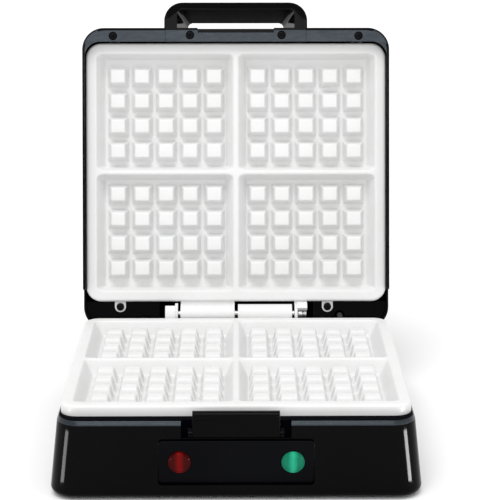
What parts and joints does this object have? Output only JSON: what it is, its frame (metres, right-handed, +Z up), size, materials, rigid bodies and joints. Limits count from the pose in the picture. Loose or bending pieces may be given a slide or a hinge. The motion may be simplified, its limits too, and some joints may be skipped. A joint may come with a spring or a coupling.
{
  "type": "waffle maker",
  "caption": "Square-waffle maker standing open on its base: a hinged lid with a loop handle over peg-studded plates, a tilting front latch and two indicator lamps.",
  "frame": {"origin": "middle of the whole object's outline, at the height of the surface that the feet stand on, with the lid open", "axes": "+Z up, -Y towards the latch and lamps at the front, +X to the right of someone facing the front"},
  "size_m": [0.2968, 0.3741, 0.3572],
  "materials": {
    "gloss_black": "glossy moulded plastic",
    "matt_black": "fine-textured moulded plastic",
    "ceramic": "satin pale ceramic coating on cast aluminium",
    "panel": "glossy dark inlay",
    "red_lens": "translucent red lamp cover",
    "green_lens": "translucent green lamp cover",
    "lamp_glass": "clear glass",
    "steel": "zinc-plated steel",
    "dark_steel": "blackened steel",
    "aluminium": "bright sheet",
    "element": "dull heat-stained steel sheath",
    "rubber": "soft matt rubber",
    "white_plastic": "matt heat-resistant moulding",
    "wire": "silicone insulation"
  },
  "bodies": {
    "base": {"base_shell": "gloss_black", "bottom_cover": "matt_black", "cord_gland": "rubber", "control_panel": "panel", "power_lens": "red_lens", "ready_lens": "green_lens", "power_lamp": "lamp_glass", "ready_lamp": "lamp_glass", "lower_plate": "ceramic", "lower_element": "element", "lower_reflector": "aluminium", "thermostat": "matt_black", "thermal_fuse": "lamp_glass", "terminal_block": "white_plastic", "wire_left": "wire", "wire_right": "wire", "lid_lead": "rubber", "hinge_pin": "steel", "hinge_nut_left": "steel", "hinge_nut_right": "steel", "latch_pin": "steel", "lower_plate_screw_front_left": "steel", "lower_plate_screw_front_right": "steel", "lower_plate_screw_rear_left": "steel", "lower_plate_screw_rear_right": "steel", "foot_front_left": "rubber", "cover_screw_front_left": "steel", "foot_front_right": "rubber", "cover_screw_front_right": "steel", "foot_rear_left": "rubber", "cover_screw_rear_left": "steel", "foot_rear_right": "rubber", "cover_screw_rear_right": "steel"},
    "lid": {"lid_shell": "gloss_black", "upper_plate": "ceramic", "upper_element": "element", "upper_reflector": "aluminium", "handle": "gloss_black", "handle_screw_left": "dark_steel", "handle_screw_right": "dark_steel", "upper_plate_screw_front_left": "dark_steel", "upper_plate_screw_front_right": "dark_steel", "upper_plate_screw_rear_left": "steel", "upper_plate_screw_rear_right": "steel"},
    "latch": {"front_latch": "gloss_black"}
  },
  "joints": [
    {"name": "lid_hinge", "type": "hinge", "parent": "base", "child": "lid", "pos_m": [0, 0.08423, 0.074], "axis": [1, 0, 0], "range_deg": [0, 103.6], "deforming": ["lid_lead"]},
    {"name": "latch_tilt", "type": "hinge", "parent": "base", "child": "latch", "pos_m": [0, -0.18137, 0.0556], "axis": [-1, 0, 0], "range_deg": [0, 8]}
  ]
}
